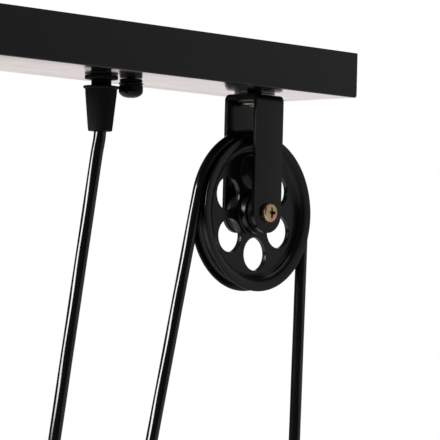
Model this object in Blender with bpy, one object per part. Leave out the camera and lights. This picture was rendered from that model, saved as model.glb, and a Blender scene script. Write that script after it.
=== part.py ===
"""Ceiling pulley rack: a black steel canopy bar with one fixed pulley and one cord gland.

The lamp cord leaves the gland, runs down round a travelling counterweight block, comes back up
over the fixed sheave and drops to the lamp fitting.

Frame, in metres: the origin is the middle of the mounting bar's top face, which is the ceiling
plane. +X runs along the bar towards the pulley end, +Y to the back, +Z up.
"""

import math

import bpy
from mathutils import Vector

# ---- driving dimensions, metres -----------------------------------------------------------------
GAP = 0.0003  # clearance between pieces that rest on each other
FIT = 0.0001  # clearance of a bore round its shaft or screw

CANOPY_LENGTH, CANOPY_DEPTH, CANOPY_HEIGHT = 0.400, 0.060, 0.023
SHEET = 0.0012  # canopy steel
NOTCH_Z = -0.0052  # small half-round grip notch in each end's front corner
BAR_LENGTH, BAR_WIDTH, BAR_THICKNESS = 0.170, 0.020, 0.002
STUD_X = 0.065  # the two fixing studs stand this far either side of the middle
STUD_RADIUS = 0.0020  # M4
CEILING_SCREW_X = 0.030  # ceiling screw slots in the bar
PULLEY_X = 0.154
GLAND_X = 0.045

CORD_RADIUS = 0.003
SHEAVE_RADIUS = 0.040
SHEAVE_Z = -0.0841
SHEAVE_CORD_RADIUS = SHEAVE_RADIUS - 0.0005  # centre of the cord on the fixed sheave
BLOCK_WHEEL_RADIUS = 0.0312
BLOCK_CORD_RADIUS = BLOCK_WHEEL_RADIUS - 0.0005
GROOVE_DEPTH = 0.0042
WHEEL_HALF_WIDTH = 0.00555
CORD_BACK = 0.0012  # how far back in its groove the cord lies where it meets the sheave

GLAND_LEAN = math.radians(9.4)  # lean of the run from the gland, towards -X going down
GLAND_BEND = 0.012  # length over which it turns into that lean below the gland
RETURN_LEAN = math.radians(13.45)  # lean of the run from the block up to the sheave
LAMP_LEAN = math.radians(1.1)  # lean of the run down to the lamp
LAMP_GRIP_TOP = -0.2068

STRAP_WIDTH, STRAP_THICKNESS = 0.0205, 0.002
STRAP_BEND = 0.003  # outer radius of the strap's bends
EAR_OUTSIDE = 0.011  # y of the outer faces of the bracket's ears
AXLE_RADIUS = 0.0025  # M5
SPACER_RADIUS = 0.0098
HUB_RADIUS = 0.0108
BUSH_RADIUS = 0.0041
THREAD_RADIUS = 0.005  # M10 x 1 lamp thread
BRACKET_BOLT_RADIUS = 0.004  # M8
STUD_HOLE_PLAY = 0.0005  # the canopy is hung over its studs by hand
GRIP_LENGTH = 0.0215

CANOPY_BOTTOM = -CANOPY_HEIGHT
FLOOR = CANOPY_BOTTOM + SHEET  # inside face of the canopy's bottom
AXIS_Y = (math.radians(-90), 0.0, 0.0)  # turns a piece made along +Z to lie along +Y
AXIS_Y_BACK = (math.radians(90), 0.0, 0.0)  # turns a piece made along +Z to lie along -Y
UPRIGHT = (0.0, 0.0, 0.0)
UPSIDE_DOWN = (math.radians(180), 0.0, 0.0)

for old in list(bpy.data.objects):
    bpy.data.objects.remove(old)


# ---- finishes -----------------------------------------------------------------------------------
def finish(name, colour, roughness, metallic=0.0):
    material = bpy.data.materials.new(name)
    material.use_nodes = True
    shader = material.node_tree.nodes["Principled BSDF"]
    shader.inputs["Base Color"].default_value = (*colour, 1.0)
    shader.inputs["Roughness"].default_value = roughness
    shader.inputs["Metallic"].default_value = metallic
    return material


BLACK_PAINT = finish("black_paint", (0.014, 0.014, 0.015), 0.45)
GLOSS_BLACK = finish("gloss_black", (0.008, 0.008, 0.009), 0.25)
BLACK_NYLON = finish("black_nylon", (0.010, 0.010, 0.011), 0.5)
BLACK_PVC = finish("black_pvc", (0.007, 0.007, 0.008), 0.28)
YELLOW_ZINC = finish("yellow_zinc", (0.66, 0.48, 0.24), 0.3, 1.0)
BRIGHT_ZINC = finish("bright_zinc", (0.62, 0.62, 0.63), 0.35, 1.0)
BRONZE = finish("bronze", (0.50, 0.31, 0.13), 0.35, 1.0)
WHITE_NYLON = finish("white_nylon", (0.75, 0.74, 0.70), 0.5)
BROWN_PVC = finish("brown_pvc", (0.13, 0.05, 0.02), 0.4)
BLUE_PVC = finish("blue_pvc", (0.02, 0.07, 0.40), 0.4)
GREEN_PVC = finish("green_pvc", (0.10, 0.33, 0.03), 0.4)


# ---- modelling tools ----------------------------------------------------------------------------
def add_object(name, data, material, place=(0, 0, 0), turn=UPRIGHT, parent=None):
    thing = bpy.data.objects.new(name, data)
    bpy.context.collection.objects.link(thing)
    if material:
        data.materials.append(material)
    thing.location = place
    thing.rotation_euler = turn
    thing.parent = parent
    return thing


def add_mesh(name, points, faces, material, place, turn, parent=None):
    mesh = bpy.data.meshes.new(name)
    mesh.from_pydata(points, [], faces)
    mesh.update()
    mesh.shade_smooth()
    mesh.set_sharp_from_angle(angle=math.radians(35))
    return add_object(name, mesh, material, place, turn, parent)


def add_joint_frame(name, place):
    """An empty on a joint's axis, for the pieces that move on it."""
    return add_object(name, None, None, place)


def hexagon(angle):
    """Distance from the middle to a hexagon's edge, for a hexagon one unit across its flats / 2."""
    return 1.0 / math.cos((angle % (math.pi / 3)) - math.pi / 6)


def turned(name, outline, material, place, turn=UPRIGHT, parent=None, segments=18, six_sided=()):
    """A solid of revolution about Z. outline is the closed half section, (radius, height) points
    counter-clockwise with radius to the right. Points numbered in six_sided follow a hexagon."""
    points, rings, faces = [], [], []
    for number, (radius, height) in enumerate(outline):
        if radius == 0.0:
            points.append((0.0, 0.0, height))
            rings.append([len(points) - 1] * segments)
            continue
        start = len(points)
        for step in range(segments):
            angle = 2 * math.pi * step / segments
            reach = radius * (hexagon(angle) if number in six_sided else 1.0)
            points.append((reach * math.cos(angle), reach * math.sin(angle), height))
        rings.append(list(range(start, start + segments)))
    for number, ring in enumerate(rings):
        other = rings[(number + 1) % len(rings)]
        if outline[number][0] == 0.0 and outline[(number + 1) % len(rings)][0] == 0.0:
            continue
        for step in range(segments):
            after = (step + 1) % segments
            corners = [ring[step], ring[after], other[after], other[step]]
            face = [c for at, c in enumerate(corners) if c not in corners[:at]]
            faces.append(face)
    return add_mesh(name, points, faces, material, place, turn, parent)


def tube_outline(inner, outer, low, high):
    return [(inner, low), (outer, low), (outer, high), (inner, high)]


def ring_piece(name, inner, outer, length, material, place, turn=UPRIGHT, parent=None):
    """A washer, spacer or bush: a plain ring standing on its place."""
    return turned(name, tube_outline(inner, outer, 0, length), material, place, turn, parent)


def hex_nut(name, bore, across_flats, height, material, place, turn=UPRIGHT, parent=None):
    outline = tube_outline(bore, across_flats / 2, 0, height)
    return turned(name, outline, material, place, turn, parent, six_sided=(1, 2))


def cutter_cylinder(name, radius, length, place, turn=UPRIGHT, parent=None, segments=18):
    """A hidden tool that bores a hole, centred on its place."""
    outline = [(0.0, -length / 2), (radius, -length / 2), (radius, length / 2), (0.0, length / 2)]
    tool = turned(name, outline, None, place, turn, parent, segments)
    tool.hide_render = True
    tool.display_type = "WIRE"
    return tool


def combine(target, tool, operation="DIFFERENCE", solver="EXACT"):
    step = target.modifiers.new(tool.name, "BOOLEAN")
    step.operation = operation
    step.solver = solver
    step.object = tool


def extruded(name, outline, low, high, material, place, turn=UPRIGHT, parent=None):
    """A prism on a counter-clockwise (x, y) outline, from z = low to z = high."""
    count = len(outline)
    points = [(x, y, z) for z in (low, high) for x, y in outline]
    sides = [(k, (k + 1) % count, (k + 1) % count + count, k + count) for k in range(count)]
    ends = [list(range(count))[::-1], list(range(count, 2 * count))]
    return add_mesh(name, points, sides + ends, material, place, turn, parent)


def box(name, low, high, material):
    outline = [(low[0], low[1]), (high[0], low[1]), (high[0], high[1]), (low[0], high[1])]
    return extruded(name, outline, low[2], high[2], material, (0, 0, 0))


def arc(centre, radius, start, stop, steps):
    """Points on an arc from angle start to angle stop, in degrees."""
    angles = [math.radians(start + (stop - start) * k / steps) for k in range(steps + 1)]
    return [(centre[0] + radius * math.cos(a), centre[1] + radius * math.sin(a)) for a in angles]


def cord_tube(name, points, radius, material, parent=None):
    """A round cord along the given points, with closed ends. World points, no parent offset."""
    curve = bpy.data.curves.new(name, "CURVE")
    curve.dimensions = "3D"
    curve.bevel_depth = radius
    curve.bevel_resolution = 2
    curve.use_fill_caps = True
    spline = curve.splines.new("POLY")
    spline.points.add(len(points) - 1)
    for knot, point in zip(spline.points, points, strict=True):
        knot.co = (*point, 1.0)
    return add_object(name, curve, material, (0, 0, 0), UPRIGHT, parent)


# ---- ceiling side: mounting bar, studs, canopy and cap nuts ------------------------------------------
def make_mounting_bar():
    """Steel strip screwed to the ceiling, with round ends, two stud holes and two screw slots."""
    half, end = BAR_LENGTH / 2 - BAR_WIDTH / 2, BAR_WIDTH / 2
    outline = arc((half, 0), end, -90, 90, 8) + arc((-half, 0), end, 90, 270, 8)
    bar = extruded(
        "mounting_bar", outline, -BAR_THICKNESS, 0.0, BRIGHT_ZINC, (0, 0, 0)
    )
    for side in (-1, 1):
        hole = cutter_cylinder(
            f"cut_bar_stud_{side}", STUD_RADIUS + FIT, 0.01, (side * STUD_X, 0, 0)
        )
        combine(bar, hole)
        slot_half, slot_end = 0.006, 0.0022
        slot = extruded(
            f"cut_bar_slot_{side}",
            arc((slot_half, 0), slot_end, -90, 90, 6) + arc((-slot_half, 0), slot_end, 90, 270, 6),
            -0.005, 0.005, None, (side * CEILING_SCREW_X, 0, 0),
        )
        slot.hide_render = True
        slot.display_type = "WIRE"
        combine(bar, slot)


def make_studs():
    """M4 studs that hang from the bar through the canopy, each locked by a nut under the bar."""
    for side, word in ((-1, "left"), (1, "right")):
        x = side * STUD_X
        outline = [(0, STUD_TIP), (STUD_RADIUS, STUD_TIP), (STUD_RADIUS, 0), (0, 0)]
        turned(f"stud_{word}", outline, BRIGHT_ZINC, (x, 0, 0), segments=16)
        hex_nut(
            f"stud_nut_{word}", STUD_RADIUS + FIT, 0.007, 0.0032, BRIGHT_ZINC,
            (x, 0, -BAR_THICKNESS - GAP - 0.0032),
        )


def make_canopy():
    """Open-topped tray folded from sheet, with its rim against the ceiling."""
    end, side = CANOPY_LENGTH / 2, CANOPY_DEPTH / 2
    tray = box("canopy_tray", (-end, -side, CANOPY_BOTTOM), (end, side, 0.0), BLACK_PAINT)
    inside = box(
        "cut_canopy_inside",
        (-end + SHEET, -side + SHEET, FLOOR), (end - SHEET, side - SHEET, 0.01), None,
    )
    inside.hide_render = True
    inside.display_type = "WIRE"
    combine(tray, inside)
    holes = [
        ("gland", GLAND_X, THREAD_RADIUS + GAP),
        ("bracket", PULLEY_X, BRACKET_BOLT_RADIUS + GAP),
        ("stud_left", -STUD_X, STUD_RADIUS + STUD_HOLE_PLAY),
        ("stud_right", STUD_X, STUD_RADIUS + STUD_HOLE_PLAY),
    ]
    for word, x, radius in holes:
        combine(tray, cutter_cylinder(f"cut_canopy_{word}", radius, 0.01, (x, 0, CANOPY_BOTTOM)))
    notch_radius, notch_depth = 0.00215, 0.00055  # a small half round for a fingernail or a knife
    for way in (-1, 1):
        place = (way * (end + notch_radius - notch_depth), -side, NOTCH_Z)
        tool = cutter_cylinder(f"cut_canopy_notch_{way}", notch_radius, 0.007, place, AXIS_Y)
        combine(tray, tool, solver="MANIFOLD")


STUD_TIP = -0.0290
CAP_NUT_BORE = 0.0046


def make_cap_nuts():
    """Knurled blind nuts on the studs: they hold the canopy up and come off by hand."""
    radius, height, dome = 0.0059, 0.0058, 0.0016
    top = CANOPY_BOTTOM - GAP
    for side, word in ((-1, "left"), (1, "right")):
        x = side * STUD_X
        ring_piece(
            f"cap_nut_washer_{word}", STUD_RADIUS + FIT, 0.0055, 0.0014, BLACK_NYLON,
            (x, 0, top - 0.0014),
        )
        seat = top - 0.0014 - GAP
        outline = [
            (0, -height - dome), (radius * 0.55, -height - dome * 0.8), (radius * 0.9, -height),
            (radius, -height + 0.0012), (radius, -0.0022), (radius * 0.93, -0.0018),
            (radius, -0.0014), (radius, -0.0003), (radius * 0.95, 0), (STUD_RADIUS + FIT, 0),
            (STUD_RADIUS + FIT, -CAP_NUT_BORE), (0, -CAP_NUT_BORE),
        ]
        turned(f"cap_nut_{word}", outline, GLOSS_BLACK, (x, 0, seat), segments=20)


# ---- cord gland --------------------------------------------------------------------------------------
def grip_outline(top_bore_depth):
    """Half section of a tapered cord grip, wide lip at the top, height measured down from the lip."""
    lip, neck, tip = 0.0086, 0.00765, 0.0058
    bore, thread_bore = CORD_RADIUS + GAP, THREAD_RADIUS + FIT
    return [
        (bore, -GRIP_LENGTH), (tip * 0.94, -GRIP_LENGTH), (tip, -GRIP_LENGTH + 0.0006),
        (neck, -0.0022), (neck, -0.0016), (lip, -0.0009), (lip, -0.0003), (lip * 0.96, 0),
        (thread_bore, 0), (thread_bore, -top_bore_depth), (bore, -top_bore_depth),
    ]


def nipple_outline(low, high):
    return [
        (CORD_RADIUS + GAP, low), (THREAD_RADIUS - 0.0004, low), (THREAD_RADIUS, low + 0.0004),
        (THREAD_RADIUS, high - 0.0004), (THREAD_RADIUS - 0.0004, high), (CORD_RADIUS + GAP, high),
    ]


GLAND_NUT_TOP = CANOPY_BOTTOM - GAP
GLAND_NUT_THICKNESS = 0.0017
GRIP_TOP = -0.0283
NIPPLE_DEPTH_IN_GRIP = 0.0060


def make_gland():
    """Cord gland: threaded hollow nipple, flange nut below the sheet, lock nut above, nylon grip."""
    place = (GLAND_X, 0, 0)
    bore = THREAD_RADIUS + FIT
    turned(
        "gland_nipple",
        nipple_outline(GRIP_TOP - NIPPLE_DEPTH_IN_GRIP + GAP, -0.0155),
        BLACK_NYLON, place,
    )
    low = GLAND_NUT_TOP - GLAND_NUT_THICKNESS
    turned(
        "gland_flange_nut",
        [(bore, low), (0.0074, low), (0.0080, low + 0.0005), (0.0080, GLAND_NUT_TOP),
         (bore, GLAND_NUT_TOP)],
        BLACK_NYLON, place,
    )
    hex_nut("gland_lock_nut", bore, 0.014, 0.0025, BRIGHT_ZINC, (GLAND_X, 0, FLOOR + GAP))
    turned("gland_grip", grip_outline(NIPPLE_DEPTH_IN_GRIP), BLACK_NYLON, (GLAND_X, 0, GRIP_TOP))


# ---- wiring inside the canopy ------------------------------------------------------------------------
TERMINAL_X, TERMINAL_PITCH = -0.010, 0.009
TERMINAL_HALF_LENGTH, TERMINAL_FRONT, TERMINAL_BACK = 0.0135, 0.0105, 0.0245
WAY_Y, WAY_Z = 0.0175, -0.0165  # middle of each way through the block
TERMINAL_TOP = -0.0100
CORD_TOP = -0.0145  # the sheath is stripped above this
CORE_RADIUS, CORE_RING = 0.0009, 0.00165


def make_terminal_block():
    """Three-way screw terminal on the canopy floor, with a screw in each way."""
    half = TERMINAL_HALF_LENGTH
    low = (TERMINAL_X - half, TERMINAL_FRONT, FLOOR + GAP)
    block = box("terminal_block", low, (TERMINAL_X + half, TERMINAL_BACK, TERMINAL_TOP), WHITE_NYLON)
    for way in (-1, 0, 1):
        x = TERMINAL_X + way * TERMINAL_PITCH
        tunnel = cutter_cylinder(
            f"cut_terminal_way_{way}", 0.0017, 0.04, (x, WAY_Y, WAY_Z), AXIS_Y, segments=12
        )
        combine(block, tunnel)
        well = cutter_cylinder(
            f"cut_terminal_well_{way}", 0.0022, 0.008, (x, WAY_Y, TERMINAL_TOP - 0.0005), segments=12
        )
        combine(block, well)
        turned(
            f"terminal_screw_{way + 2}",
            [(0, -0.0140), (0.0019, -0.0140), (0.0019, -0.0112), (0, -0.0112)],
            BRIGHT_ZINC, (x, WAY_Y, 0), segments=12,
        )


def bend_path(start, start_way, stop, stop_way, reach, steps):
    """Points on a smooth Bezier from start, leaving along start_way, to stop, arriving along stop_way."""
    a, d = Vector(start), Vector(stop)
    b, c = a + Vector(start_way) * reach, d - Vector(stop_way) * reach
    path = []
    for k in range(steps + 1):
        t = k / steps
        path.append(a * (1 - t) ** 3 + 3 * b * t * (1 - t) ** 2 + 3 * c * t * t * (1 - t) + d * t**3)
    return path


def make_wiring():
    """The sheathed end of the cord inside the gland, and its three cores to the terminals and earth."""
    tail = [(GLAND_X, 0, z) for z in (CORD_TOP, GRIP_TOP, GRIP_TOP - GRIP_LENGTH)]
    cord_tube("cord_tail", tail, CORD_RADIUS, BLACK_PVC)
    top = CORD_TOP + 2 * GAP
    # each core: its angle round the cord, its terminal way, and the height at which it turns in
    ways = [("core_live", BROWN_PVC, 90, 1, -0.0150), ("core_neutral", BLUE_PVC, 210, -1, -0.0105)]
    for name, colour, angle, way, turn_height in ways:
        a = math.radians(angle)
        start = (GLAND_X + CORE_RING * math.cos(a), CORE_RING * math.sin(a), top)
        x = TERMINAL_X + way * TERMINAL_PITCH
        turn_in, stop = (x + 0.004, -0.001, turn_height), (x, TERMINAL_FRONT + 0.002, WAY_Z)
        path = bend_path(start, (0, 0, 1), turn_in, (-1, 0.2, 0), 0.006, 7)
        path += bend_path(turn_in, (-1, 0.2, 0), stop, (0, 1, 0), 0.005, 7)[1:]
        cord_tube(name, path, CORE_RADIUS, colour)
    a = math.radians(330)
    start = (GLAND_X + CORE_RING * math.cos(a), CORE_RING * math.sin(a), top)
    stop = (GLAND_X + 0.040, -0.0172, FLOOR + 0.0032)
    path = bend_path(start, (0, 0, 1), stop, (1, -0.3, -0.3), 0.011, 10)
    cord_tube("core_earth", path, CORE_RADIUS, GREEN_PVC)
    earth = (GLAND_X + 0.0455, -0.0172, 0)
    head = [(0, 0.0003), (0.0040, 0.0003), (0.0040, 0.0022), (0.0030, 0.0030), (0, 0.0030)]
    turned(
        "earth_screw", [(r, FLOOR + h) for r, h in head], YELLOW_ZINC, earth, segments=16
    )


# ---- U straps, wheels and their axles ----------------------------------------------------------------
def make_strap(name, bridge, tip, outside, material, place, parent=None):
    """A flat strap bent to a U with half-round ends. bridge and tip are heights, from the place, of
    the outer face of the bridge and of the centre of the round ends; outside is half the outer width."""
    way = 1 if bridge > tip else -1
    inside, bend_in = outside - STRAP_THICKNESS, STRAP_BEND - STRAP_THICKNESS
    overrun = STRAP_WIDTH
    foot = tip - way * overrun
    corner = (outside - STRAP_BEND, bridge - way * STRAP_BEND)
    outer = [(outside, foot)]
    outer += [(y, corner[1] + way * (z - corner[1])) for y, z in arc(corner, STRAP_BEND, 0, 90, 4)]
    outer += [(-y, z) for y, z in outer[::-1]]
    inner = [(-inside, foot)]
    inner += [
        (-y, corner[1] + way * (z - corner[1])) for y, z in arc(corner, bend_in, 0, 90, 3)
    ]
    inner += [(-y, z) for y, z in inner[::-1]]
    section = outer + inner
    if way < 0:
        section = section[::-1]
    # the section lies in Y and Z and is swept along X
    half = STRAP_WIDTH / 2
    count = len(section)
    points = [(x, y, z) for x in (-half, half) for y, z in section]
    sides = [(k, (k + 1) % count, (k + 1) % count + count, k + count) for k in range(count)]
    ends = [list(range(count))[::-1], list(range(count, 2 * count))]
    strap = add_mesh(name, points, sides + ends, material, place, UPRIGHT, parent)
    # the tongue outline rounds the two ends, and lies in X and Z
    if way > 0:
        tongue = arc((0, tip), half, 180, 360, 12) + [(half + 0.001, tip), (half + 0.001, bridge + 0.01)]
        tongue += [(-half - 0.001, bridge + 0.01), (-half - 0.001, tip)]
    else:
        tongue = arc((0, tip), half, 0, 180, 12) + [(-half - 0.001, tip), (-half - 0.001, bridge - 0.01)]
        tongue += [(half + 0.001, bridge - 0.01), (half + 0.001, tip)]
    mirrored = [(x, -z) for x, z in tongue][::-1]
    tool = extruded(f"cut_{name}_ends", mirrored, -0.03, 0.03, None, place, AXIS_Y, parent)
    tool.hide_render = True
    tool.display_type = "WIRE"
    combine(strap, tool, "INTERSECT")
    return strap


def wheel_outline(radius):
    """Half section of a grooved wheel lying about its axis: a dished face, flat web and round hub."""
    half, web, lip = WHEEL_HALF_WIDTH, 0.0014, 0.0004
    floor_half, wall_half = 0.0041, 0.0047
    front = [
        (BUSH_RADIUS + FIT, -half), (HUB_RADIUS - 0.0006, -half), (HUB_RADIUS, -half + 0.0006),
        (HUB_RADIUS, -web), (radius * 0.775, -web), (radius * 0.79, -web - lip),
        (radius * 0.80, -web - lip), (radius - 0.0035, -half + 0.0002), (radius - 0.0014, -half),
        (radius - 0.0003, -half + 0.0004), (radius, -wall_half),
        (radius - GROOVE_DEPTH + 0.0005, -floor_half), (radius - GROOVE_DEPTH, -floor_half + 0.0008),
    ]
    return front + [(r, -y) for r, y in front[::-1]]


FIRST_HOLE = math.radians(85)  # from +X towards -Z, so the lowest hole is almost under the hub


def make_wheel(name, radius, hole_count, hole_ring, hole_radius, place, turn, parent):
    wheel = turned(name, wheel_outline(radius), GLOSS_BLACK, place, turn, parent, segments=40)
    for k in range(hole_count):
        angle = 2 * math.pi * k / hole_count + FIRST_HOLE
        spot = (hole_ring * math.cos(angle), 0, -hole_ring * math.sin(angle))
        tool = cutter_cylinder(
            f"cut_{name}_{k}", hole_radius, 0.02, Vector(place) + Vector(spot), AXIS_Y, parent, 20
        )
        combine(wheel, tool)
    return wheel


def make_axle(prefix, place, parent=None):
    """M5 pan-head screw through both ears from the front, a nut at the back and two hub spacers."""
    head_seat = EAR_OUTSIDE + GAP
    tip = EAR_OUTSIDE + 0.0058
    outline = [
        (0, -tip), (AXLE_RADIUS - 0.0004, -tip), (AXLE_RADIUS, -tip + 0.0005),
        (AXLE_RADIUS, head_seat), (0.0048, head_seat), (0.0048, head_seat + 0.0012),
        (0.0040, head_seat + 0.0022), (0.0025, head_seat + 0.0027), (0, head_seat + 0.0028),
    ]
    turned(f"{prefix}axle_bolt", outline, YELLOW_ZINC, place, AXIS_Y_BACK, parent)
    nut_place = Vector(place) + Vector((0, EAR_OUTSIDE + GAP, 0))
    hex_nut(f"{prefix}axle_nut", AXLE_RADIUS + FIT, 0.008, 0.0040, YELLOW_ZINC, nut_place, AXIS_Y, parent)
    length = EAR_OUTSIDE - STRAP_THICKNESS - WHEEL_HALF_WIDTH - 2 * GAP
    for word, start in (("front", -WHEEL_HALF_WIDTH - GAP - length), ("back", WHEEL_HALF_WIDTH + GAP)):
        spot = Vector(place) + Vector((0, start, 0))
        ring_piece(
            f"{prefix}hub_spacer_{word}", AXLE_RADIUS + FIT, SPACER_RADIUS, length, GLOSS_BLACK,
            spot, AXIS_Y, parent,
        )


def make_bush(name, place, parent):
    spot = Vector(place) + Vector((0, -WHEEL_HALF_WIDTH + GAP, 0))
    length = 2 * (WHEEL_HALF_WIDTH - GAP)
    ring_piece(name, AXLE_RADIUS + FIT, BUSH_RADIUS, length, BRONZE, spot, AXIS_Y, parent)


# ---- fixed pulley ------------------------------------------------------------------------------------
SPACER_THICKNESS = 0.0005
BRIDGE_Z = CANOPY_BOTTOM - 2 * GAP - SPACER_THICKNESS  # top face of the bracket


def make_fixed_pulley():
    """U bracket under the canopy on one M8 screw, and the sheave between its ears."""
    axle = (PULLEY_X, 0, SHEAVE_Z)
    hole, washer_hole = BRACKET_BOLT_RADIUS + GAP, BRACKET_BOLT_RADIUS + 2 * FIT
    bracket = make_strap(
        "pulley_bracket", BRIDGE_Z - SHEAVE_Z, 0.0, EAR_OUTSIDE, BLACK_PAINT, axle
    )
    combine(bracket, cutter_cylinder("cut_bracket_top", hole, 0.01, (PULLEY_X, 0, BRIDGE_Z)))
    combine(
        bracket, cutter_cylinder("cut_bracket_axle", AXLE_RADIUS + FIT, 0.05, axle, AXIS_Y)
    )
    ring_piece(
        "bracket_spacer", hole, 0.0105, SPACER_THICKNESS, BLACK_PAINT,
        (PULLEY_X, 0, CANOPY_BOTTOM - GAP - SPACER_THICKNESS),
    )
    below = BRIDGE_Z - STRAP_THICKNESS - GAP
    washer = 0.0012
    ring_piece(
        "bracket_washer", washer_hole, 0.0085, washer, YELLOW_ZINC, (PULLEY_X, 0, below - washer)
    )
    head_top = below - washer - GAP
    outline = [
        (0, head_top - 0.0018), (0.0045, head_top - 0.0017), (0.0062, head_top - 0.0013),
        (0.0070, head_top - 0.0006), (0.0070, head_top), (BRACKET_BOLT_RADIUS, head_top),
        (BRACKET_BOLT_RADIUS, -0.0100), (0, -0.0100),
    ]
    turned("bracket_bolt", outline, YELLOW_ZINC, (PULLEY_X, 0, 0))
    ring_piece(
        "bracket_inner_washer", washer_hole, 0.0080, washer, BRIGHT_ZINC, (PULLEY_X, 0, FLOOR + GAP)
    )
    hex_nut(
        "bracket_nut", BRACKET_BOLT_RADIUS + FIT, 0.013, 0.0060, BRIGHT_ZINC,
        (PULLEY_X, 0, FLOOR + 2 * GAP + washer),
    )
    make_axle("", axle)
    turning = add_joint_frame("sheave_axis", axle)
    make_wheel("sheave", SHEAVE_RADIUS, 6, 0.021, 0.0084, (0, 0, 0), AXIS_Y, turning)
    make_bush("sheave_bush", (0, 0, 0), turning)


# ---- cord route, in the X-Z plane --------------------------------------------------------------------
def down(lean):
    """Unit vector down along a run that leans towards -X."""
    return Vector((-math.sin(lean), 0, -math.cos(lean)))


def left_of(lean):
    """Unit vector square to such a run, towards -X."""
    return Vector((-math.cos(lean), 0, math.sin(lean)))


GLAND_MOUTH = Vector((GLAND_X, 0, GRIP_TOP - GRIP_LENGTH))
SHEAVE_CENTRE = Vector((PULLEY_X, 0, SHEAVE_Z))
HALF_ANGLE = (RETURN_LEAN - GLAND_LEAN) / 2
BLOCK_LEAN = (RETURN_LEAN + GLAND_LEAN) / 2  # the block travels along the middle of the two runs


def crossing(point_a, way_a, point_b, way_b):
    """Where two lines in the X-Z plane meet."""
    step = point_b - point_a
    across = way_a.x * way_b.z - way_a.z * way_b.x
    return point_a + way_a * ((step.x * way_b.z - step.z * way_b.x) / across)


RETURN_TOP = SHEAVE_CENTRE + left_of(RETURN_LEAN) * SHEAVE_CORD_RADIUS
APEX = crossing(GLAND_MOUTH, down(GLAND_LEAN), RETURN_TOP, down(RETURN_LEAN))
BLOCK_CENTRE = APEX - down(BLOCK_LEAN) * (BLOCK_CORD_RADIUS / math.sin(HALF_ANGLE))
GLAND_RUN_END = BLOCK_CENTRE + left_of(GLAND_LEAN) * BLOCK_CORD_RADIUS
RETURN_END = BLOCK_CENTRE - left_of(RETURN_LEAN) * BLOCK_CORD_RADIUS
LAMP_RUN_TOP = SHEAVE_CENTRE - left_of(LAMP_LEAN) * SHEAVE_CORD_RADIUS
LAMP_RUN_END = LAMP_RUN_TOP + down(LAMP_LEAN) * (
    (LAMP_RUN_TOP.z - LAMP_GRIP_TOP - GAP) / math.cos(LAMP_LEAN)
)
BACK = Vector((0, CORD_BACK, 0))


def straight(start, stop, steps, clear=GAP / 2):
    """Points from start to stop, kept clear of both ends."""
    way = (stop - start).normalized() * clear
    first, last = start + way, stop - way
    return [first.lerp(last, k / steps) for k in range(steps + 1)]


def wrap(centre, radius, first, last, steps, back_first, back_last):
    """Points round a wheel from angle first to last, in radians from +X towards +Z."""
    path = []
    for k in range(steps + 1):
        t = k / steps
        angle = first + (last - first) * t
        back = back_first + (back_last - back_first) * t
        path.append(centre + Vector((radius * math.cos(angle), back, radius * math.sin(angle))))
    return path


def make_cords():
    """The one lamp cord, as its separate runs: each meets the next face to face."""
    bend = GLAND_MOUTH + down(GLAND_LEAN) * GLAND_BEND
    start = bend_path(
        GLAND_MOUTH + Vector((0, 0, -GAP)), (0, 0, -1), bend, down(GLAND_LEAN), GLAND_BEND / 3, 4
    )
    cord_tube(
        "cord_gland_run", start + straight(bend, GLAND_RUN_END, 9)[1:], CORD_RADIUS, BLACK_PVC
    )
    clear = GAP / 2 / BLOCK_CORD_RADIUS
    cord_tube(
        "cord_block_wrap",
        wrap(BLOCK_CENTRE, BLOCK_CORD_RADIUS, math.pi - GLAND_LEAN + clear,
             2 * math.pi - RETURN_LEAN - clear, 15, 0, 0),
        CORD_RADIUS, BLACK_PVC,
    )
    cord_tube(
        "cord_return_run", straight(RETURN_END, RETURN_TOP + BACK, 8), CORD_RADIUS, BLACK_PVC
    )
    clear = GAP / 2 / SHEAVE_CORD_RADIUS
    cord_tube(
        "cord_sheave_wrap",
        wrap(SHEAVE_CENTRE, SHEAVE_CORD_RADIUS, math.pi - RETURN_LEAN - clear,
             -LAMP_LEAN + clear, 20, CORD_BACK, 0),
        CORD_RADIUS, BLACK_PVC,
    )
    cord_tube(
        "cord_lamp_run", straight(LAMP_RUN_TOP, LAMP_RUN_END, 8), CORD_RADIUS, BLACK_PVC
    )


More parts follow.
